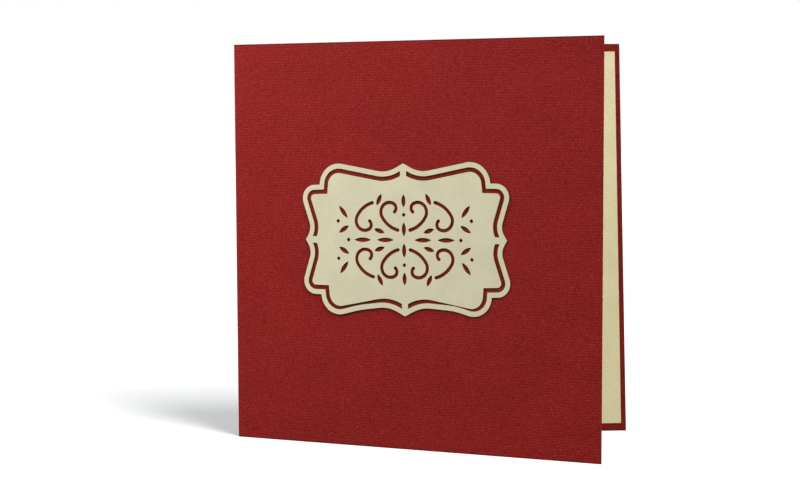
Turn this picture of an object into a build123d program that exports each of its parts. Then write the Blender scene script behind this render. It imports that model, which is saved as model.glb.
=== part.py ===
from build123d import *
from math import asin, cos, radians, sin, sqrt, tan
import os

# Square pop up card of dark red ribbed card, standing half open on its lower edge. The spine stands
# upright, +Z is up, +X points from the spine out through the mouth, and the front half lies on the
# -Y side. The origin is on the ground under the middle of the card. Lengths are in millimetres and
# angles in degrees.
#
# cover          one sheet of card, folded once around the spine
# insert_sheet   one cream sheet, folded inside the cover and glued to both halves
# front_label    one laser cut cream label glued on the front
# cake_slice_*   the pop up: a three tier cake of slices that slot into one another like an egg crate

# Sizes of the whole card
card_height = 150.0
panel_width = 150.0
cover_thickness = 0.4
insert_thickness = 0.3
slice_thickness = 0.25
label_thickness = 0.4
glue_line = 0.05

# Opening of the card at half its height, and how much further back each half leans at its top than
# at its foot
opening_angle = 32.18
front_twist = 1.2
back_twist = 5.0

# Insert, with the red border that it leaves along the cover's edges
insert_margin_ends = 3.0
insert_margin_mouth = 2.0
insert_fold_radius = 0.15

# Front label: the corners of its outline before rounding, and where its middle lies
label_reach_across = 44.1
label_reach_up = 29.7
label_from_spine = 71.6
label_height_up = 77.2
label_turn = 0.8
label_strip_width = 1.85
label_groove_width = 1.65
label_bridge_width = 2.45
label_stroke_width = 1.3
scrollwork_half_length = 27.0
scrollwork_leaf_width = 1.7
scrollwork_lozenge_width = 1.7

# Pop up cake
cell_size = 9.0
cells_per_side = 6
overhang = 3.0
tier_heights = (20.0, 17.0, 15.0)
slot_width = 1.45
slot_end_gap = 0.2
candle_width = 2.4
candle_height = 9.0
flame_height = 4.5
tab_reach = 7.0
tab_length = 7.0
tab_tip_height = 1.8

# The label outline in one quarter, from the top tip round to the side tip, as shares of the two
# reaches. The lower runs are bowed towards the middle by one more corner each. The rounding of a
# corner takes up a share of the shorter run beside it.
top_tip_share = 0.944
side_tip_share = 0.935
shoulder_share = (0.150, 0.829)
lobe_share = (0.772, 1.0)
notch_share = (0.792, 0.690)
ear_share = (1.0, 0.682)
waist_share = (0.879, 0.136)
right_bow_share = (0.460, 0.866)
left_bow_share = (0.420, 0.875)
shoulder_round_share = 0.53
lobe_round_share = 0.946
ear_round_share = 0.739
waist_round_share = 0.551
bow_round_share = 0.2

# The scrollwork on the label, as shares of half its length. The scrolls start at a point with a
# heading in degrees; each leaf runs from its foot to its tip.
scroll_arc_shares = ((0.380, 46), (0.132, 150), (0.068, 110))
upright_scroll_share = (0.092, 0.134)
hanging_scroll_share = (0.476, 0.506)
scroll_heading = 14
side_leaf_shares = (
    ((0.412, 0.470), (0.336, 0.626)),
    ((0.456, 0.150), (0.296, 0.098)),
    ((0.864, 0.298), (0.992, 0.466)),
    ((0.848, 0.194), (1.000, 0.098)),
)
side_lozenge_share = (1.012, 0.258)
middle_leaf_shares = (((0, 0.046), (0, 0.242)), ((0, 0.442), (0, 0.618)))
middle_lozenge_share = (0, 0.342)
cross_leaf_shares = (((0.156, 0), (0.415, 0)), ((0.504, 0), (0.763, 0)))
cross_lozenge_share = (0.852, 0)

# How much of a flame lies on its candle
flame_overlap_share = 0.2

# Worked out from the sizes above
insert_outer_radius = insert_fold_radius + insert_thickness
cover_inner_radius = insert_outer_radius + glue_line
cover_outer_radius = cover_inner_radius + cover_thickness
leg_length = panel_width - cover_outer_radius
half_opening = opening_angle / 2


def panel_angle(side, height):
    """Direction of a half of the card at a height: side is -1 for the front and 1 for the back."""
    twist = front_twist if side < 0 else back_twist
    return side * half_opening + twist * (height / card_height - 1 / 2)


def panel_point(side, height, along, reach):
    """Point beside one half: along it from the spine's axis, and reach outwards from that axis."""
    angle = radians(panel_angle(side, height))
    x = along * cos(angle) - side * reach * sin(angle)
    y = along * sin(angle) + side * reach * cos(angle)
    return spine + Vector(x, y, height)


# The mouth's corners, from which the spine's place is set so that the origin is under the middle
spine = Vector(0, 0, 0)
mouth_corners = []
for mouth_side in (-1, 1):
    for corner_height in (0, card_height):
        for corner_reach in (cover_inner_radius, cover_outer_radius):
            mouth_corners.append(panel_point(mouth_side, corner_height, leg_length, corner_reach))
mouth_x = max(corner.X for corner in mouth_corners)
mouth_y = sum((min(c.Y for c in mouth_corners), max(c.Y for c in mouth_corners))) / 2
spine = Vector((cover_outer_radius - mouth_x) / 2, -mouth_y, 0)


def folded_profile(height, length, inner_radius, outer_radius):
    """Section of a sheet folded around the spine, with square free edges, at one height."""
    turn = panel_angle(1, height) - panel_angle(-1, height)
    with BuildSketch(Plane.XY.offset(height)) as profile:
        with BuildLine():
            outer_arc = CenterArc((spine.X, spine.Y), outer_radius, panel_angle(-1, height) - 90, turn - 180)
            inner_arc = CenterArc((spine.X, spine.Y), inner_radius, panel_angle(-1, height) - 90, turn - 180)
            front_outer = panel_point(-1, height, length, outer_radius) - Vector(0, 0, height)
            front_inner = panel_point(-1, height, length, inner_radius) - Vector(0, 0, height)
            back_outer = panel_point(1, height, length, outer_radius) - Vector(0, 0, height)
            back_inner = panel_point(1, height, length, inner_radius) - Vector(0, 0, height)
            Line(front_outer, outer_arc @ 0)
            Line(outer_arc @ 1, back_outer)
            Line(back_outer, back_inner)
            Line(back_inner, inner_arc @ 1)
            Line(inner_arc @ 0, front_inner)
            Line(front_inner, front_outer)
        make_face()
    return profile.sketch


def leaf_profile(side, height, near, far, low_reach, high_reach):
    """Section of a flat leaf that lies along one half of the card, at one height."""
    corners = [
        panel_point(side, height, near, low_reach),
        panel_point(side, height, far, low_reach),
        panel_point(side, height, far, high_reach),
        panel_point(side, height, near, high_reach),
    ]
    with BuildSketch(Plane.XY.offset(height)) as profile:
        Polygon([(corner.X, corner.Y) for corner in corners], align=None)
    return profile.sketch


os.makedirs("parts", exist_ok=True)

# Cover
with BuildPart() as cover:
    loft(
        [
            folded_profile(0, leg_length, cover_inner_radius, cover_outer_radius),
            folded_profile(card_height, leg_length, cover_inner_radius, cover_outer_radius),
        ],
        ruled=True,
    )
cover.part.label = "cover"
export_step(cover.part, "parts/cover.step")

# Insert sheet
insert_low = insert_margin_ends
insert_high = card_height - insert_margin_ends
insert_length = leg_length - insert_margin_mouth
with BuildPart() as insert_sheet:
    loft(
        [
            folded_profile(insert_low, insert_length, insert_fold_radius, insert_outer_radius),
            folded_profile(insert_high, insert_length, insert_fold_radius, insert_outer_radius),
        ],
        ruled=True,
    )
insert_sheet.part.label = "insert_sheet"
export_step(insert_sheet.part, "parts/insert_sheet.step")


# Front label
def label_point(share):
    """A point of the label's plane from its shares of the two reaches."""
    return (share[0] * label_reach_across, share[1] * label_reach_up)


def label_outline(bowed):
    """The bracket outline as a closed rounded polyline, clockwise from the top tip."""
    right_side = [
        (shoulder_share, shoulder_round_share),
        (lobe_share, lobe_round_share),
        (notch_share, 0),
        (ear_share, ear_round_share),
        (waist_share, waist_round_share),
    ]
    lower_right = [((x, -y), rounding) for (x, y), rounding in reversed(right_side)]
    lower_left = [((-x, -y), rounding) for (x, y), rounding in right_side]
    if bowed:
        lower_right.insert(-1, ((right_bow_share[0], -right_bow_share[1]), bow_round_share))
        lower_left.insert(1, ((-left_bow_share[0], -left_bow_share[1]), bow_round_share))
    corners = [((0, top_tip_share), 0), *right_side, ((side_tip_share, 0), 0), *lower_right]
    corners += [((0, -top_tip_share), 0), *lower_left, ((-side_tip_share, 0), 0)]
    corners += [((-x, y), rounding) for (x, y), rounding in reversed(right_side)]
    points = [Vector(*label_point(share)) for share, rounding in corners]
    radii = []
    for index, (share, rounding) in enumerate(corners):
        before = points[index] - points[index - 1]
        after = points[(index + 1) % len(points)] - points[index]
        turn = radians(before.get_angle(after))
        radii.append(rounding * min(before.length, after.length) / tan(turn / 2))
    return FilletPolyline(*points, radius=radii, close=True)


def scroll_point(share):
    """A point of the scrollwork from its shares of half the scrollwork's length."""
    return (share[0] * scrollwork_half_length, share[1] * scrollwork_half_length)


def scroll(start_share, hand):
    """One scroll: three tangent arcs, each tighter than the last, curling to the left or right."""
    start = Vector(*scroll_point(start_share))
    tangent = Vector(cos(radians(scroll_heading)), hand * sin(radians(scroll_heading)))
    with BuildLine() as path:
        for radius_share, sweep in scroll_arc_shares:
            arc = JernArc(start, tangent, radius_share * scrollwork_half_length, hand * sweep)
            start = arc @ 1
            tangent = arc % 1
    SlotArc(path.wire(), label_stroke_width)


def leaf(foot_share, tip_share):
    """A pointed leaf between two arcs."""
    foot = scroll_point(foot_share)
    tip = scroll_point(tip_share)
    with BuildLine() as edge:
        SagittaArc(foot, tip, scrollwork_leaf_width / 2)
        SagittaArc(foot, tip, -scrollwork_leaf_width / 2)
    make_face(edge.edges())


def lozenge(share):
    """A small square that stands on its corner."""
    with Locations(scroll_point(share)):
        RegularPolygon(scrollwork_lozenge_width / 2, 4)


with BuildSketch() as scrollwork_half:
    scroll(upright_scroll_share, 1)
    scroll(hanging_scroll_share, -1)
    for foot_share, tip_share in side_leaf_shares:
        leaf(foot_share, tip_share)
    lozenge(side_lozenge_share)
    mirror(about=Plane.YZ)
    for foot_share, tip_share in middle_leaf_shares:
        leaf(foot_share, tip_share)
    lozenge(middle_lozenge_share)

with BuildSketch() as cross_leaves:
    for foot_share, tip_share in cross_leaf_shares:
        leaf(foot_share, tip_share)
    lozenge(cross_lozenge_share)
    mirror(about=Plane.YZ)

with BuildSketch() as label_cuts:
    with BuildLine() as bowed_line:
        label_outline(bowed=True)
    make_face()
    offset(amount=-label_strip_width, kind=Kind.INTERSECTION)
    with BuildSketch(mode=Mode.SUBTRACT) as label_field:
        with BuildLine():
            label_outline(bowed=False)
        make_face()
        offset(amount=-label_strip_width - label_groove_width, kind=Kind.INTERSECTION)
    Rectangle(label_bridge_width, 2 * label_reach_up, mode=Mode.SUBTRACT)
    Rectangle(2 * label_reach_across, label_bridge_width, mode=Mode.SUBTRACT)
    add(scrollwork_half.sketch)
    add(mirror(scrollwork_half.sketch, about=Plane.XZ, mode=Mode.PRIVATE))
    add(cross_leaves.sketch)

with BuildSketch() as label_shape:
    with BuildLine():
        label_outline(bowed=True)
    make_face()
    add(label_cuts.sketch, mode=Mode.SUBTRACT)

# The label is flat and lies along the front half at its own middle. Its glue is as thick as the
# twisted half needs under the label's lobes.
lobe_x, lobe_y = label_point(lobe_share)
label_glue = glue_line + radians(front_twist) * lobe_x * lobe_y / card_height
label_back = panel_point(-1, label_height_up, label_from_spine, cover_outer_radius + label_glue)
label_across = panel_point(-1, label_height_up, label_from_spine, 0) - panel_point(-1, label_height_up, 0, 0)
label_top = panel_point(-1, label_height_up + label_reach_up, label_from_spine, cover_outer_radius)
label_foot = panel_point(-1, label_height_up - label_reach_up, label_from_spine, cover_outer_radius)
label_out = label_across.cross(label_top - label_foot)
with BuildPart() as front_label:
    with BuildSketch(Plane(origin=label_back, x_dir=label_across, z_dir=label_out)):
        add(label_shape.sketch, rotation=label_turn)
    extrude(amount=label_thickness)
front_label.part.label = "front_label"
export_step(front_label.part, "parts/front_label.step")

# Pop up cake. All its slices stand along +X. Seen from the mouth they cross in rhombic cells, which
# close up as the card closes, because the slices hold on to each half by the tabs at two corners.
cell_lean = asin(sin(radians(half_opening)) * sqrt(1 / 2))
cell_step = Vector(0, cell_size * sin(cell_lean), cell_size * cos(cell_lean))
outermost = cells_per_side // 2
anchor_from_spine = 2 * outermost * cell_size * sqrt(1 / 2)
cake_foot = spine + Vector(anchor_from_spine * cos(radians(half_opening)), 0, card_height / 2)

# A tab starts where the other slice of its crossing has risen clear of it
tab_start = 1.5 * slice_thickness / (tan(cell_lean) * cos(radians(half_opening)))


def height_of(tiers):
    """Height of the cake's first tiers together."""
    return sum(tier_heights[:tiers])


def tiers_at(index):
    """How many tiers a slice has, and a crossing on it, from its place counted from the middle."""
    return min(len(tier_heights), outermost + 1 - abs(index))


def candles():
    """Two candles with flames on the top tier, either side of the middle crossing."""
    foot = height_of(len(tier_heights))
    wick = foot + candle_height
    for middle in (-cell_size / 2, cell_size / 2):
        with Locations((middle, foot)):
            Rectangle(candle_width, candle_height, align=(Align.CENTER, Align.MIN))
        flame_foot = (middle, wick - flame_overlap_share * flame_height)
        flame_tip = (middle, wick + flame_height)
        with BuildLine() as flame:
            SagittaArc(flame_foot, flame_tip, candle_width / 2)
            SagittaArc(flame_foot, flame_tip, -candle_width / 2)
        make_face(flame.edges())


def slots(direction, tiers):
    """Half slots at the crossings: from below on one family of slices, from above on the other."""
    for crossing in range(-outermost, outermost + 1):
        top = height_of(min(tiers, tiers_at(crossing)))
        low = -slot_end_gap if direction > 0 else top / 2 - slot_end_gap
        high = top / 2 + slot_end_gap if direction > 0 else top + slot_end_gap
        with Locations((crossing * cell_size, low)):
            Rectangle(slot_width, high - low, align=(Align.CENTER, Align.MIN), mode=Mode.SUBTRACT)


def tab_height(hand, beyond):
    """Height above the ground of a point of a tab's fold, this far beyond the outer crossing."""
    return card_height / 2 + hand * beyond * cos(cell_lean)


def tab_fold_x(side, hand, beyond):
    """Distance from the spine's axis, along +X, at which a slice meets its tab."""
    angle = radians(abs(panel_angle(side, tab_height(hand, beyond))))
    y_reach = (2 * outermost * cell_size + beyond) * sin(cell_lean)
    tab_middle_reach = insert_fold_radius - glue_line - slice_thickness / 2
    return (y_reach - tab_middle_reach / cos(angle)) / tan(angle)


def tab_fold(side, hand, beyond):
    """The same point in the slice's plane: how far out along the slice, and how high up the cake."""
    return (outermost * cell_size + beyond, tab_fold_x(side, hand, beyond) - cake_foot.X + spine.X)


def tab_profile(side, hand, beyond):
    """Section of a tab, which lies flat on the insert from its fold towards the spine."""
    angle = radians(abs(panel_angle(side, tab_height(hand, beyond))))
    y_reach = (2 * outermost * cell_size + beyond) * sin(cell_lean)
    far = tab_fold_x(side, hand, beyond) * cos(angle) + y_reach * sin(angle) + slice_thickness / 2
    high_reach = insert_fold_radius - glue_line
    low_reach = high_reach - slice_thickness
    return leaf_profile(side, tab_height(hand, beyond), far - tab_length, far, low_reach, high_reach)


def cake_slice(direction, index):
    """One slice of the cake, which lies in its own plane: x runs up it and y away from the spine."""
    along = Vector(0, direction * cell_step.Y, cell_step.Z)
    middle = cake_foot + Vector(0, -direction * cell_step.Y, cell_step.Z) * index
    tiers = tiers_at(index)
    with BuildPart() as piece:
        with BuildSketch(Plane(origin=middle, x_dir=along, z_dir=along.cross(Vector(1, 0, 0)))):
            for tier in range(tiers):
                length = 2 * ((outermost - tier) * cell_size + overhang)
                with Locations((0, height_of(tier))):
                    Rectangle(length, tier_heights[tier], align=(Align.CENTER, Align.MIN))
            if index == 0:
                candles()
            if abs(index) == outermost:
                hand = -index // outermost
                side = direction * hand
                fold_foot = tab_fold(side, hand, 0)
                fold_end = tab_fold(side, hand, tab_reach)
                web = [
                    (hand * fold_foot[0], fold_foot[1]),
                    (hand * fold_end[0], fold_end[1]),
                    (hand * fold_end[0], fold_end[1] + tab_tip_height),
                    (hand * (fold_foot[0] + overhang), tier_heights[0] / 2),
                    (hand * fold_foot[0], tier_heights[0] / 2),
                ]
                below = [
                    (hand * fold_foot[0], fold_foot[1]),
                    (hand * fold_end[0], fold_end[1]),
                    (hand * fold_end[0], -overhang),
                    (hand * fold_foot[0], -overhang),
                ]
                Polygon(web, align=None)
                Polygon(below, align=None, mode=Mode.SUBTRACT)
            slots(direction, tiers)
        extrude(amount=slice_thickness / 2, both=True)
        if abs(index) == outermost:
            loft(
                [
                    tab_profile(side, hand, tab_start),
                    tab_profile(side, hand, tab_reach),
                ],
                ruled=True,
            )
    return piece


for direction, family in ((1, "a"), (-1, "b")):
    for index in range(-outermost, outermost + 1):
        piece = cake_slice(direction, index)
        piece.part.label = f"cake_slice_{family}{index + outermost + 1}"
        export_step(piece.part, f"parts/{piece.part.label}.step")
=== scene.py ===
from math import cos, radians, sin

import bpy
from bpy.props import FloatProperty, FloatVectorProperty, PointerProperty
from mathutils import Color, Matrix, Vector


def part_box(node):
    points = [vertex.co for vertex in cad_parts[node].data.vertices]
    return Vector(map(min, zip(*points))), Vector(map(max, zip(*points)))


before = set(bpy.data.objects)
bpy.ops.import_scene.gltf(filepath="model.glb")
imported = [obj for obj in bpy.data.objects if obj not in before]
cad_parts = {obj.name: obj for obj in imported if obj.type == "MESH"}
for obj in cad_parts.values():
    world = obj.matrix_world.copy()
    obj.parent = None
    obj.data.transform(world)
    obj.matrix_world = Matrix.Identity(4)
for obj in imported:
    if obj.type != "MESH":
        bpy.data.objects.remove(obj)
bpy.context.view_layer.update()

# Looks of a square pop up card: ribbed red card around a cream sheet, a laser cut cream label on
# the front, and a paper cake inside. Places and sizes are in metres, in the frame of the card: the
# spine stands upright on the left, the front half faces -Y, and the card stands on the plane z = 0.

bl_info = {
    "name": "Pop up card looks",
    "version": (1, 0, 0),
    "blender": (4, 5, 0),
    "location": "3D View > Sidebar > Pop up card",
    "description": "Papers, lamps and camera for a folded card with a paper cake inside",
    "category": "Object",
}

MM = 0.001

# The cover's box, and the corner of its mesh furthest out at the spine, where the fold's line stands
CARD_LOW, CARD_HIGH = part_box("cover")
COVER_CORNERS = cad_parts["cover"].data.vertices
FOLD_LINE = min((corner.co for corner in COVER_CORNERS), key=lambda co: co.x).copy()

# Noise lies around a half. A ramp between one of these pairs of limits spreads it out.
NOISE_LIMITS = (0.25, 0.75)
SOFT_NOISE_LIMITS = (0.3, 0.7)
FIBRE_NOISE = {"Detail": 4.0, "Roughness": 0.62, "Distortion": 0.6}
CLOUD_NOISE = {"Detail": 2.0, "Roughness": 0.5}

# How dark and how light the red card gets, as shares of its colour: by its fibres, by clouds, from
# the grooves to the ribs, and from the plain card to the painted highlight on its rounded fold
CARD_MOTTLE_SHARES = (0.74, 1.26)
CARD_CLOUD_SHARES = (0.95, 1.05)
# The darker share in the grooves between the ribs is painted shade
CARD_RIB_SHARES = (0.945, 1.045)
CARD_FOLD_SHARES = (1.0, 1.10)
CARD_CLOUD_SIZE = 22 * MM
CARD_ROUGHNESS = (0.58, 0.72)
CARD_GLOSS = 0.05

# The red card's fibres lie along its level ribs: this scales the pattern's places on X, Y and Z
CARD_FIBRE_STRETCH = (0.7, 0.7, 1.6)

# How far the ribs stray from level, and in how many waves to the metre. Below 1, the fullness
# makes the ribs broader than the grooves.
RIB_WAVER = 0.45 * MM
RIB_WAVER_NOISE = {"Scale": 260.0, "Detail": 1.0}
RIB_FULLNESS = 0.7

# How high the fibres stand, as a share of the ribs' height
FIBRE_RELIEF_SHARE = 0.5

# Pale flecks show where the fibres stand high, a little more on the ribs than beside them: these are
# painted glints of the card's gloss on its fibres
GLINT_RIB_SHARE = 0.06
GLINT_FIBRE_LIMITS = (0.42, 0.85)
GLINT_FIBRE_SHARES = (0.0, 0.055)

# The dark line along a cut edge is full over this share of its width
EDGE_FULL_SHARE = 0.3

# Laser marks and painted shade on the red card, from where it lies nearly open to where the label hems it
# in
MARK_OPEN_LIMITS = (0.92, 0.6)
MARK_SHARES = (0.0, 0.85)
MARK_SAMPLES = 8

# The card's inner side is the one whose faces turn to the mouth, which is +X
MOUTH_TURN_LIMITS = (-0.05, 0.05)

# Cream papers, in the same terms
CREAM_MOTTLE_SHARES = (0.95, 1.05)
CREAM_CLOUD_SHARES = (0.97, 1.03)
CREAM_CLOUD_SIZE = 9 * MM
CREAM_ROUGHNESS = (0.6, 0.75)
CREAM_GLOSS = 0.08

# Cut edges are the faces that stand about square to their sheet. The shares say how brown the
# laser left them: the sheet inside is cut with a blade, and stays clean.
CUT_EDGE_LIMITS = (0.75, 0.55)
SHEET_SCORCH = 0.0
LABEL_SCORCH = 1.0
CAKE_SCORCH = 0.4

# Broad lights that skip the floor. A heading is counted from +X towards +Y.
MOUTH_LIGHT = {"heading": radians(5), "height": radians(15), "spread": radians(40)}
BACK_LIGHT = {"heading": radians(95), "height": radians(20), "spread": radians(40)}

# The two lights for the cake come in through the mouth, from either side of +X
CAKE_LIGHT_HEADINGS = {"cake_light_front": radians(-24), "cake_light_back": radians(24)}
CAKE_LIGHT_HEIGHT = radians(25)
CAKE_LIGHT_SPREAD = radians(30)

FILL_LAMP_PLACE = (-0.27, -0.20, 0.30)
FILL_LAMP_SIZE = 0.25

# How far the floor reaches from the card, and the width of the camera's picture in millimetres
FLOOR_REACH = 6.0
PICTURE_WIDTH = 36


def screen_colour(red, green, blue):
    """A colour in linear light from its screen values, which run from 0 to 255."""
    return tuple(Color((red / 255, green / 255, blue / 255)).from_srgb_to_scene_linear())


class RedCardSettings(bpy.types.PropertyGroup):
    """The cover's ribbed red card."""

    colour: FloatVectorProperty(
        name="Card", description="Colour of the red card", subtype="COLOR", size=3, min=0, max=1,
        default=screen_colour(129, 23, 21),
    )
    # A darker copy of the card's colour for its inner side: painted shade, as the card is one colour on
    # both sides
    inside_shade_colour: FloatVectorProperty(
        name="Inside", description="Colour of the card's inner side, beside the sheet",
        subtype="COLOR", size=3, min=0, max=1, default=screen_colour(106, 10, 3),
    )
    edge_colour: FloatVectorProperty(
        name="Cut edge", description="Colour of the card's cut edges", subtype="COLOR", size=3,
        min=0, max=1, default=screen_colour(84, 18, 17),
    )
    edge_width: FloatProperty(
        name="Edge width", description="Width of the darker line along the cut edges",
        default=0.45 * MM, min=0, unit="LENGTH", precision=5,
    )
    rib_pitch: FloatProperty(
        name="Rib pitch", description="Distance from one rib of the card to the next",
        default=1.0 * MM, min=0.2 * MM, unit="LENGTH", precision=5,
    )
    rib_depth: FloatProperty(
        name="Rib depth", description="Depth of the grooves between the ribs",
        default=0.014 * MM, min=0, unit="LENGTH", precision=5,
    )
    # Pale colour of the painted glints on the card's fibres
    fibre_glint_colour: FloatVectorProperty(
        name="Fibres", description="Colour of the pale fibres that show in the card",
        subtype="COLOR", size=3, min=0, max=1, default=screen_colour(215, 190, 185),
    )
    fibre_size: FloatProperty(
        name="Fibre size", description="Size of the fibres that mottle the card",
        default=0.48 * MM, min=0.1 * MM, unit="LENGTH", precision=5,
    )
    # The laser's brown in the label's cuts and close beside the label is partly laser residue and partly
    # painted shade, placed by occlusion
    scorch_colour: FloatVectorProperty(
        name="Laser marks", description="Colour of the marks that the laser left beside the label's cuts",
        subtype="COLOR", size=3, min=0, max=1, default=screen_colour(102, 52, 8),
    )
    scorch_width: FloatProperty(
        name="Laser mark width", description="How far the laser's marks reach from a cut",
        default=1.2 * MM, min=0, unit="LENGTH", precision=5,
    )
    # The paler strip beside the fold is a painted highlight where the card rounds over the fold
    fold_width: FloatProperty(
        name="Fold width", description="Width of the paler, rubbed strip beside the fold",
        default=4.0 * MM, min=0, unit="LENGTH", precision=5,
    )


class CreamPaperSettings(bpy.types.PropertyGroup):
    """The cream papers: the sheet inside, the label on the front and the cake."""

    label_colour: FloatVectorProperty(
        name="Label", description="Colour of the cream label and of the cake", subtype="COLOR",
        size=3, min=0, max=1, default=screen_colour(204, 199, 169),
    )
    sheet_colour: FloatVectorProperty(
        name="Sheet", description="Colour of the cream sheet inside", subtype="COLOR", size=3,
        min=0, max=1, default=screen_colour(204, 195, 157),
    )
    scorch_colour: FloatVectorProperty(
        name="Laser edge", description="Colour of edges that a laser has cut", subtype="COLOR",
        size=3, min=0, max=1, default=screen_colour(140, 76, 34),
    )
    fibre_size: FloatProperty(
        name="Fibre size", description="Size of the fibres in the cream papers",
        default=0.7 * MM, min=0.1 * MM, unit="LENGTH", precision=5,
    )
    fibre_depth: FloatProperty(
        name="Fibre depth", description="Depth of the cream papers' surface texture",
        default=0.012 * MM, min=0, unit="LENGTH", precision=5,
    )


class StageSettings(bpy.types.PropertyGroup):
    """The camera, the lamps and the floor."""

    camera_place: FloatVectorProperty(
        name="Camera", description="Where the camera stands", subtype="TRANSLATION", size=3,
        default=(137.92 * MM, -762.92 * MM, 122.25 * MM),
    )
    camera_yaw: FloatProperty(
        name="Yaw", description="Turn of the camera to the right", unit="ROTATION",
        default=radians(-10.947),
    )
    camera_pitch: FloatProperty(
        name="Pitch", description="Tilt of the camera upwards", unit="ROTATION",
        default=radians(-3.70),
    )
    camera_roll: FloatProperty(
        name="Roll", description="Roll of the camera", unit="ROTATION", default=radians(-0.417),
    )
    camera_lens: FloatProperty(
        name="Lens", description="Focal length in millimetres, on a 36 mm wide picture",
        default=92.71, min=10,
    )
    room_light: FloatProperty(
        name="Room light", description="Strength of the even light from all around",
        default=0.35, min=0,
    )
    key_strength: FloatProperty(
        name="Key light", description="Strength of the broad light from the front right",
        default=3.16, min=0,
    )
    key_heading: FloatProperty(
        name="Key heading", description="Direction that the broad light comes from, from +X",
        unit="ROTATION", default=radians(317.6),
    )
    key_height: FloatProperty(
        name="Key height", description="Height of the broad light over the floor",
        unit="ROTATION", default=radians(42.1),
    )
    key_spread: FloatProperty(
        name="Key spread", description="How broad the light is as the card sees it",
        unit="ROTATION", default=radians(23.8),
    )
    key_step: FloatProperty(
        name="Key step", description="How far the two halves of the broad light are apart in height",
        unit="ROTATION", default=radians(20),
    )
    fill_power: FloatProperty(
        name="Fill lamp", description="Power of the soft lamp on the front left, in watts",
        default=1.15, min=0,
    )
    mouth_strength: FloatProperty(
        name="Mouth light", description="Strength of the low, broad light on the mouth's side",
        default=1.0, min=0,
    )
    cake_strength: FloatProperty(
        name="Cake light", description="Strength of the two lights that reach the cake through the mouth",
        default=2.2, min=0,
    )
    back_strength: FloatProperty(
        name="Back light", description="Strength of the low, broad light from behind the card",
        default=2.2, min=0,
    )
    floor_colour: FloatVectorProperty(
        name="Floor", description="Colour of the floor as it is seen", subtype="COLOR", size=3,
        min=0, max=1, default=(0.95, 0.95, 0.95),
    )
    floor_dimming: FloatProperty(
        name="Floor dimming", description="Share of its colour with which the floor lights the card",
        default=0.15, min=0, max=1,
    )
    lift_colour: FloatVectorProperty(
        name="Lift colour", description="Colour of the light added to the floor where it is seen",
        subtype="COLOR", size=3, min=0, max=1, default=(0.9, 1.0, 1.0),
    )
    floor_lift: FloatProperty(
        name="Floor lift", description="Light added to the floor where it is seen, up to white",
        default=0.29, min=0,
    )


def feed(tree, value, socket):
    """Gives a socket a value, or links it to another socket."""
    if isinstance(value, bpy.types.NodeSocket):
        tree.links.new(value, socket)
    else:
        socket.default_value = value


def node(tree, kind, inputs=None, **settings):
    """Adds a node with its settings, and feeds its inputs by name."""
    made = tree.nodes.new(kind)
    for name, value in settings.items():
        setattr(made, name, value)
    for name, value in (inputs or {}).items():
        feed(tree, value, made.inputs[name])
    return made


def calculate(tree, operation, *values, clamp=False):
    """A Math node over sockets or numbers."""
    made = node(tree, "ShaderNodeMath", operation=operation, use_clamp=clamp)
    for socket, value in zip(made.inputs, values):
        feed(tree, value, socket)
    return made.outputs[0]


def product(tree, first, *others):
    """All the values multiplied together."""
    total = first
    for other in others:
        total = calculate(tree, "MULTIPLY", total, other)
    return total


def calculate_vector(tree, operation, *values):
    """A Vector Math node over sockets or vectors: its outputs."""
    made = node(tree, "ShaderNodeVectorMath", operation=operation)
    for socket, value in zip(made.inputs, values):
        feed(tree, value, socket)
    return made.outputs


def ramp(tree, value, low, high, to_low=0.0, to_high=1.0):
    """A smooth step of a value, from one pair of limits to another."""
    inputs = {
        "Value": value, "From Min": low, "From Max": high, "To Min": to_low, "To Max": to_high,
    }
    return node(tree, "ShaderNodeMapRange", inputs, interpolation_type="SMOOTHSTEP").outputs["Result"]


def blend_colour(tree, share, below, above, kind="MIX"):
    """Mixes two colours by a share."""
    made = node(tree, "ShaderNodeMix", data_type="RGBA", blend_type=kind, clamp_factor=True)
    for name, value in (("Factor_Float", share), ("A_Color", below), ("B_Color", above)):
        socket = next(s for s in made.inputs if s.identifier == name)
        feed(tree, value, socket)
    return next(s for s in made.outputs if s.identifier == "Result_Color")


def opaque(colour):
    """A colour with the fourth number that a socket needs."""
    return (*colour, 1.0)


def new_group(name, inputs, outputs):
    """A shader group with named sockets, and its input and output nodes."""
    tree = bpy.data.node_groups.new(name, "ShaderNodeTree")
    for socket_name, kind in inputs:
        tree.interface.new_socket(socket_name, in_out="INPUT", socket_type=kind)
    for socket_name, kind in outputs:
        tree.interface.new_socket(socket_name, in_out="OUTPUT", socket_type=kind)
    return tree, node(tree, "NodeGroupInput").outputs, node(tree, "NodeGroupOutput").inputs


def fibres_group():
    """Fibres and the cloudy look of paper, as two masks around a half."""
    tree, given, made = new_group(
        "Paper fibres",
        [("Place", "NodeSocketVector"), ("Fibre size", "NodeSocketFloat"),
         ("Cloud size", "NodeSocketFloat")],
        [("Fibres", "NodeSocketFloat"), ("Clouds", "NodeSocketFloat")],
    )
    for mask, size, noise in (
        ("Fibres", "Fibre size", FIBRE_NOISE),
        ("Clouds", "Cloud size", CLOUD_NOISE),
    ):
        scale = calculate(tree, "DIVIDE", 1.0, given[size])
        inputs = {"Vector": given["Place"], "Scale": scale, **noise}
        feed(tree, node(tree, "ShaderNodeTexNoise", inputs).outputs["Fac"], made[mask])
    return tree


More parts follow.
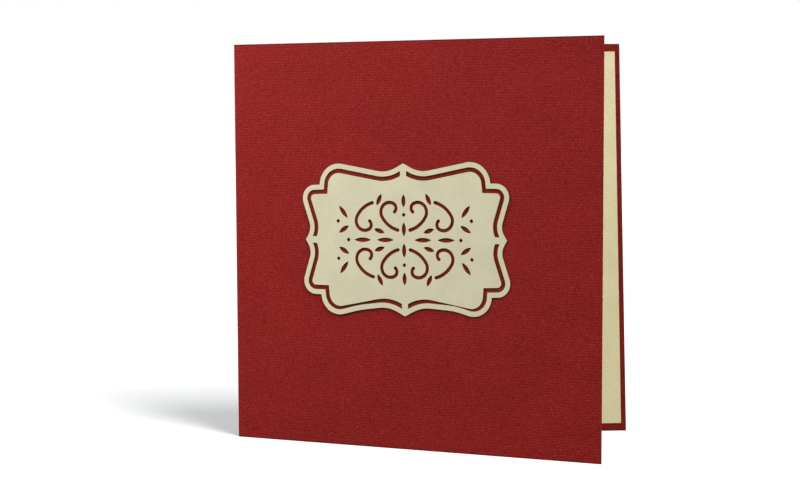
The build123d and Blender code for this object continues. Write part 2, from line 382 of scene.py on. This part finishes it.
def ribs_group():
    """Level ribs, as a height from 0 in the grooves to 1 on the ribs."""
    tree, given, made = new_group(
        "Card ribs",
        [("Place", "NodeSocketVector"), ("Pitch", "NodeSocketFloat"), ("Waver", "NodeSocketFloat")],
        [("Ribs", "NodeSocketFloat")],
    )
    wander = node(tree, "ShaderNodeTexNoise", {"Vector": given["Place"], **RIB_WAVER_NOISE})
    around_zero = calculate(tree, "SUBTRACT", wander.outputs["Fac"], 0.5)
    offset = calculate(tree, "MULTIPLY", around_zero, given["Waver"])
    height = node(tree, "ShaderNodeSeparateXYZ", {"Vector": given["Place"]}).outputs["Z"]
    turns = calculate(tree, "DIVIDE", calculate(tree, "ADD", height, offset), given["Pitch"])
    wave = calculate(tree, "COSINE", calculate(tree, "MULTIPLY", turns, radians(360)))
    ribs = calculate(tree, "MULTIPLY_ADD", wave, 0.5, 0.5)
    feed(tree, calculate(tree, "POWER", ribs, RIB_FULLNESS), made["Ribs"])
    return tree


def cut_edge_group():
    """Marks the faces that stand square to a flat sheet: the sheet's cut edges."""
    tree, given, made = new_group(
        "Cut edge", [("Sheet faces", "NodeSocketVector")], [("Edge", "NodeSocketFloat")],
    )
    facing = node(tree, "ShaderNodeNewGeometry").outputs["Normal"]
    along = calculate_vector(tree, "DOT_PRODUCT", facing, given["Sheet faces"])["Value"]
    feed(tree, ramp(tree, calculate(tree, "ABSOLUTE", along), *CUT_EDGE_LIMITS), made["Edge"])
    return tree


def shared_group(name, make):
    """The named group, made once."""
    return bpy.data.node_groups.get(name) or make()


def place_group(tree, group, inputs):
    """Places a shared group in a material, and feeds its inputs."""
    return node(tree, "ShaderNodeGroup", inputs, node_tree=group).outputs


def new_material(name):
    """An empty material: itself, its tree and its shader."""
    material = bpy.data.materials.new(name)
    material.use_nodes = True
    tree = material.node_tree
    return material, tree, tree.nodes["Principled BSDF"]


def places_on_piece(tree):
    """Places on the piece, in the frame of the card."""
    return node(tree, "ShaderNodeTexCoord").outputs["Object"]


def give_material(piece, material):
    """Puts the material in each of the piece's slots."""
    for slot in piece.material_slots:
        slot.material = material
    if not piece.material_slots:
        piece.data.materials.append(material)


def distance_from_fold(tree, place):
    """How far a place lies from the upright line of the fold."""
    from_fold = calculate_vector(tree, "SUBTRACT", place, (FOLD_LINE.x, FOLD_LINE.y, 0))["Vector"]
    level = calculate_vector(tree, "MULTIPLY", from_fold, (1, 1, 0))["Vector"]
    return calculate_vector(tree, "LENGTH", level)["Value"]


def inner_side(tree):
    """Marks the card's faces that look at the sheet inside."""
    normal = node(tree, "ShaderNodeNewGeometry").outputs["Normal"]
    to_mouth = node(tree, "ShaderNodeSeparateXYZ", {"Vector": normal}).outputs["X"]
    return ramp(tree, to_mouth, *MOUTH_TURN_LIMITS)


def edge_line(tree, height, from_fold, width):
    """Marks a line along the card's cut edges: its foot, its head and its free edges."""
    panel_reach = (Vector((CARD_HIGH.x, CARD_LOW.y)) - FOLD_LINE.xy).length
    from_head = calculate(tree, "SUBTRACT", CARD_HIGH.z, height)
    from_free_edge = calculate(tree, "SUBTRACT", panel_reach, from_fold)
    nearest = calculate(tree, "MINIMUM", calculate(tree, "MINIMUM", height, from_head), from_free_edge)
    return ramp(tree, nearest, width, EDGE_FULL_SHARE * width)


def laser_marks_and_shade(tree, height, inside, width):
    """Marks the outer side of the card in the label's cuts and close beside the label, where it is hemmed
    in: laser residue and painted shade in one brown.
    """
    inputs = {"Distance": width}
    open_share = node(tree, "ShaderNodeAmbientOcclusion", inputs, samples=MARK_SAMPLES).outputs["AO"]
    hemmed_in = ramp(tree, open_share, *MARK_OPEN_LIMITS, *MARK_SHARES)
    above_floor = ramp(tree, height, width, 2 * width)
    outside = calculate(tree, "SUBTRACT", 1.0, inside)
    return product(tree, hemmed_in, above_floor, outside)


def red_card(settings):
    """Dark red card with level ribs and dark cut edges, with painted shade in its grooves and on its inner
    side, painted glints on its fibres, a painted highlight on its fold, and the laser's brown marks mixed
    with painted shade.
    """
    material, tree, shader = new_material("red_card")
    place = places_on_piece(tree)
    height = node(tree, "ShaderNodeSeparateXYZ", {"Vector": place}).outputs["Z"]
    from_fold = distance_from_fold(tree, place)
    inside = inner_side(tree)
    along_ribs = calculate_vector(tree, "MULTIPLY", place, CARD_FIBRE_STRETCH)["Vector"]
    noise = place_group(tree, shared_group("Paper fibres", fibres_group), {
        "Place": along_ribs, "Fibre size": settings.fibre_size, "Cloud size": CARD_CLOUD_SIZE,
    })
    ribs = place_group(tree, shared_group("Card ribs", ribs_group), {
        "Place": place, "Pitch": settings.rib_pitch, "Waver": RIB_WAVER,
    })["Ribs"]

    # The card's colour, lighter and darker with its fibres and clouds, with painted shade in the grooves
    # between the ribs and a painted highlight on the fold
    mottle = ramp(tree, noise["Fibres"], *NOISE_LIMITS, *CARD_MOTTLE_SHARES)
    clouds = ramp(tree, noise["Clouds"], *SOFT_NOISE_LIMITS, *CARD_CLOUD_SHARES)
    # Painted shade: darker in the grooves between the ribs
    grooves = ramp(tree, ribs, 0.0, 1.0, *CARD_RIB_SHARES)
    # Painted highlight: paler close to the fold, where the card rounds over it
    highlit = ramp(tree, from_fold, settings.fold_width, 0.0, *CARD_FOLD_SHARES)
    light = product(tree, mottle, clouds, grooves, highlit)
    # Painted shade: the card's inner side takes the darker copy of its colour
    plain = blend_colour(tree, inside, opaque(settings.colour), opaque(settings.inside_shade_colour))
    colour = blend_colour(tree, 1.0, plain, light, kind="MULTIPLY")

    # What shows on top of it: pale fibres painted as glints, dark cut edges, and the laser's marks mixed
    # with painted shade
    # Painted glints: pale flecks where the fibres and ribs stand high
    raised = calculate(tree, "MULTIPLY_ADD", ribs, GLINT_RIB_SHARE, noise["Fibres"])
    pale = ramp(tree, raised, *GLINT_FIBRE_LIMITS, *GLINT_FIBRE_SHARES)
    colour = blend_colour(tree, pale, colour, opaque(settings.fibre_glint_colour))
    edge = edge_line(tree, height, from_fold, settings.edge_width)
    colour = blend_colour(tree, edge, colour, opaque(settings.edge_colour))
    marks_and_shade = laser_marks_and_shade(tree, height, inside, settings.scorch_width)
    colour = blend_colour(tree, marks_and_shade, colour, opaque(settings.scorch_colour))
    feed(tree, colour, shader.inputs["Base Color"])

    roughness = ramp(tree, noise["Fibres"], *SOFT_NOISE_LIMITS, *CARD_ROUGHNESS)
    feed(tree, roughness, shader.inputs["Roughness"])
    shader.inputs["Specular IOR Level"].default_value = CARD_GLOSS
    relief = calculate(tree, "MULTIPLY_ADD", noise["Fibres"], FIBRE_RELIEF_SHARE, ribs)
    bump = node(tree, "ShaderNodeBump", {
        "Height": relief, "Distance": settings.rib_depth, "Strength": 1.0,
    })
    feed(tree, bump.outputs["Normal"], shader.inputs["Normal"])
    return material


def cream_paper(name, colour, settings, sheet_faces, scorch):
    """Smooth cream paper with faint fibres, and the laser's brown on its cut edges."""
    material, tree, shader = new_material(name)
    noise = place_group(tree, shared_group("Paper fibres", fibres_group), {
        "Place": places_on_piece(tree), "Fibre size": settings.fibre_size,
        "Cloud size": CREAM_CLOUD_SIZE,
    })
    mottle = ramp(tree, noise["Fibres"], *NOISE_LIMITS, *CREAM_MOTTLE_SHARES)
    clouds = ramp(tree, noise["Clouds"], *SOFT_NOISE_LIMITS, *CREAM_CLOUD_SHARES)
    light = product(tree, mottle, clouds)
    tone = blend_colour(tree, 1.0, opaque(colour), light, kind="MULTIPLY")
    cut_edge = shared_group("Cut edge", cut_edge_group)
    edge = place_group(tree, cut_edge, {"Sheet faces": sheet_faces})["Edge"]
    browned = calculate(tree, "MULTIPLY", edge, scorch)
    tone = blend_colour(tree, browned, tone, opaque(settings.scorch_colour))
    feed(tree, tone, shader.inputs["Base Color"])
    roughness = ramp(tree, noise["Fibres"], *SOFT_NOISE_LIMITS, *CREAM_ROUGHNESS)
    feed(tree, roughness, shader.inputs["Roughness"])
    shader.inputs["Specular IOR Level"].default_value = CREAM_GLOSS
    bump = node(tree, "ShaderNodeBump", {
        "Height": noise["Fibres"], "Distance": settings.fibre_depth, "Strength": 1.0,
    })
    feed(tree, bump.outputs["Normal"], shader.inputs["Normal"])
    return material


def facing_of(piece):
    """The direction that a flat piece's largest face looks in."""
    return max(piece.data.polygons, key=lambda face: face.area).normal.copy()


def cake_slices(family=""):
    """The slices of the cake, or those of one family, which all stand the same way."""
    return [piece for name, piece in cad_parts.items() if name.startswith(f"cake_slice_{family}")]


class CARD_OT_cover(bpy.types.Operator):
    """Gives the folded cover its ribbed red card"""

    bl_idname = "pop_up_card.cover"
    bl_label = "Red cover"

    def execute(self, context):
        give_material(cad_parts["cover"], red_card(context.scene.red_card))
        return {"FINISHED"}


class CARD_OT_insert_sheet(bpy.types.Operator):
    """Gives the sheet inside its cream paper"""

    bl_idname = "pop_up_card.insert_sheet"
    bl_label = "Cream sheet"

    def execute(self, context):
        settings = context.scene.cream_paper
        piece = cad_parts["insert_sheet"]
        paper = cream_paper("cream_sheet", settings.sheet_colour, settings, facing_of(piece), SHEET_SCORCH)
        give_material(piece, paper)
        return {"FINISHED"}


class CARD_OT_front_label(bpy.types.Operator):
    """Gives the label on the front its cream card with laser cut edges"""

    bl_idname = "pop_up_card.front_label"
    bl_label = "Front label"

    def execute(self, context):
        settings = context.scene.cream_paper
        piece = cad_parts["front_label"]
        paper = cream_paper("cream_label", settings.label_colour, settings, facing_of(piece), LABEL_SCORCH)
        give_material(piece, paper)
        return {"FINISHED"}


class CARD_OT_cake(bpy.types.Operator):
    """Gives the slices of the paper cake their cream card with laser cut edges"""

    bl_idname = "pop_up_card.cake"
    bl_label = "Paper cake"

    def execute(self, context):
        settings = context.scene.cream_paper
        for family in "ab":
            slices = cake_slices(family)
            name = f"cream_slice_{family}"
            faces = facing_of(slices[0])
            paper = cream_paper(name, settings.label_colour, settings, faces, CAKE_SCORCH)
            for piece in slices:
                give_material(piece, paper)
        return {"FINISHED"}


def new_light(name, kind, place, target):
    """A light that looks from a place at a target: its object and its data."""
    data = bpy.data.lights.new(name, kind)
    light = bpy.data.objects.new(name, data)
    light.location = place
    light.rotation_mode = "QUATERNION"
    light.rotation_quaternion = (Vector(target) - Vector(place)).to_track_quat("-Z", "Y")
    bpy.context.scene.collection.objects.link(light)
    return light, data


def add_soft_lamp(name, place, target, size, power):
    """A square soft lamp that looks at a target."""
    lamp, data = new_light(name, "AREA", place, target)
    data.shape = "SQUARE"
    data.size = size
    data.energy = power
    return lamp


def add_broad_light(name, heading, height, spread, strength):
    """A light from one direction, which is as strong everywhere on the floor."""
    towards = (cos(height) * cos(heading), cos(height) * sin(heading), sin(height))
    light, data = new_light(name, "SUN", towards, (0, 0, 0))
    data.energy = strength
    data.angle = spread
    return light


def choose_receivers(light, pieces, state):
    """Lets a light fall on these pieces alone (INCLUDE), or on all but these (EXCLUDE)."""
    receivers = bpy.data.collections.new(f"{light.name}_receivers")
    for piece in pieces:
        receivers.objects.link(piece)
    for entry in receivers.collection_objects:
        entry.light_linking.link_state = state
    light.light_linking.receiver_collection = receivers


def add_key_light(settings):
    """The light that casts the card's shadow: two halves, one above the other."""
    for name, side in (("key_light_low", -1), ("key_light_high", 1)):
        height = settings.key_height + side * settings.key_step / 2
        strength = settings.key_strength / 2
        add_broad_light(name, settings.key_heading, height, settings.key_spread, strength)


def add_card_lights(settings, floor):
    """Weaker lights that keep off the floor, so that the card's shadow stays as it is."""
    mouth = add_broad_light("mouth_light", **MOUTH_LIGHT, strength=settings.mouth_strength)
    back = add_broad_light("back_light", **BACK_LIGHT, strength=settings.back_strength)
    middle = (0, 0, CARD_HIGH.z / 2)
    fill = add_soft_lamp("fill_lamp", FILL_LAMP_PLACE, middle, FILL_LAMP_SIZE, settings.fill_power)
    for light in (mouth, back, fill):
        choose_receivers(light, [floor], "EXCLUDE")
    strength = settings.cake_strength
    for name, heading in CAKE_LIGHT_HEADINGS.items():
        light = add_broad_light(name, heading, CAKE_LIGHT_HEIGHT, CAKE_LIGHT_SPREAD, strength)
        choose_receivers(light, cake_slices(), "INCLUDE")


def seen_directly(tree):
    """1 for rays that show the backdrop: from the camera, off gloss, or through something clear."""
    path = node(tree, "ShaderNodeLightPath").outputs
    total = calculate(tree, "ADD", path["Is Camera Ray"], path["Is Glossy Ray"])
    return calculate(tree, "ADD", total, path["Is Transmission Ray"], clamp=True)


def white_world(settings):
    """Even light from all around, and plain white where it is seen."""
    world = bpy.data.worlds.new("white_room")
    world.use_nodes = True
    tree = world.node_tree
    background = tree.nodes["Background"]
    background.inputs["Color"].default_value = (1, 1, 1, 1)
    strength = ramp(tree, seen_directly(tree), 0.0, 1.0, settings.room_light, 1.0)
    feed(tree, strength, background.inputs["Strength"])
    bpy.context.scene.world = world


def white_floor(settings):
    """A plain floor that shows white, and keeps the card's shadow."""
    mesh = bpy.data.meshes.new("floor")
    corners = [(x * FLOOR_REACH, y * FLOOR_REACH, 0) for x, y in ((-1, -1), (1, -1), (1, 1), (-1, 1))]
    mesh.from_pydata(corners, [], [(0, 1, 2, 3)])
    floor = bpy.data.objects.new("floor", mesh)
    bpy.context.scene.collection.objects.link(floor)
    material, tree, shader = new_material("white_floor")
    seen = seen_directly(tree)
    shade = ramp(tree, seen, 0.0, 1.0, settings.floor_dimming, 1.0)
    tone = blend_colour(tree, 1.0, opaque(settings.floor_colour), shade, kind="MULTIPLY")
    feed(tree, tone, shader.inputs["Base Color"])
    shader.inputs["Roughness"].default_value = 1.0
    shader.inputs["Specular IOR Level"].default_value = 0.0
    shader.inputs["Emission Color"].default_value = opaque(settings.lift_colour)
    lift = calculate(tree, "MULTIPLY", seen, settings.floor_lift)
    feed(tree, lift, shader.inputs["Emission Strength"])
    mesh.materials.append(material)
    return floor


def add_camera(settings):
    """The camera at the photograph's place."""
    data = bpy.data.cameras.new("camera")
    data.lens = settings.camera_lens
    data.sensor_width = PICTURE_WIDTH
    camera = bpy.data.objects.new("camera", data)
    bpy.context.scene.collection.objects.link(camera)
    camera.matrix_world = (
        Matrix.Translation(settings.camera_place)
        @ Matrix.Rotation(-settings.camera_yaw, 4, "Z")
        @ Matrix.Rotation(radians(90) + settings.camera_pitch, 4, "X")
        @ Matrix.Rotation(settings.camera_roll, 4, "Z")
    )
    bpy.context.scene.camera = camera


class CARD_OT_stage(bpy.types.Operator):
    """Adds the white floor, the lamps and the camera"""

    bl_idname = "pop_up_card.stage"
    bl_label = "Stage"

    def execute(self, context):
        settings = context.scene.card_stage
        white_world(settings)
        floor = white_floor(settings)
        add_key_light(settings)
        add_card_lights(settings, floor)
        add_camera(settings)
        context.scene.view_settings.view_transform = "Standard"
        return {"FINISHED"}


class CARD_PT_looks(bpy.types.Panel):
    """Lists the card's pieces and their settings"""

    bl_idname = "CARD_PT_looks"
    bl_label = "Pop up card"
    bl_space_type = "VIEW_3D"
    bl_region_type = "UI"
    bl_category = "Pop up card"

    def draw(self, context):
        for operator in OPERATORS:
            self.layout.operator(operator.bl_idname)
        for group in (context.scene.red_card, context.scene.cream_paper, context.scene.card_stage):
            box = self.layout.box()
            for name in group.__annotations__:
                box.prop(group, name)


OPERATORS = (CARD_OT_cover, CARD_OT_insert_sheet, CARD_OT_front_label, CARD_OT_cake, CARD_OT_stage)
CLASSES = (RedCardSettings, CreamPaperSettings, StageSettings, *OPERATORS, CARD_PT_looks)


def register():
    """Registers the classes, and gives the scene its three groups of settings."""
    for made in CLASSES:
        bpy.utils.register_class(made)
    bpy.types.Scene.red_card = PointerProperty(type=RedCardSettings)
    bpy.types.Scene.cream_paper = PointerProperty(type=CreamPaperSettings)
    bpy.types.Scene.card_stage = PointerProperty(type=StageSettings)


def unregister():
    """Takes back what register does."""
    del bpy.types.Scene.card_stage
    del bpy.types.Scene.cream_paper
    del bpy.types.Scene.red_card
    for made in reversed(CLASSES):
        bpy.utils.unregister_class(made)


def main():
    """Registers the add-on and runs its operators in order."""
    register()
    bpy.ops.pop_up_card.cover()
    bpy.ops.pop_up_card.insert_sheet()
    bpy.ops.pop_up_card.front_label()
    bpy.ops.pop_up_card.cake()
    bpy.ops.pop_up_card.stage()


if __name__ == "__main__":
    main()
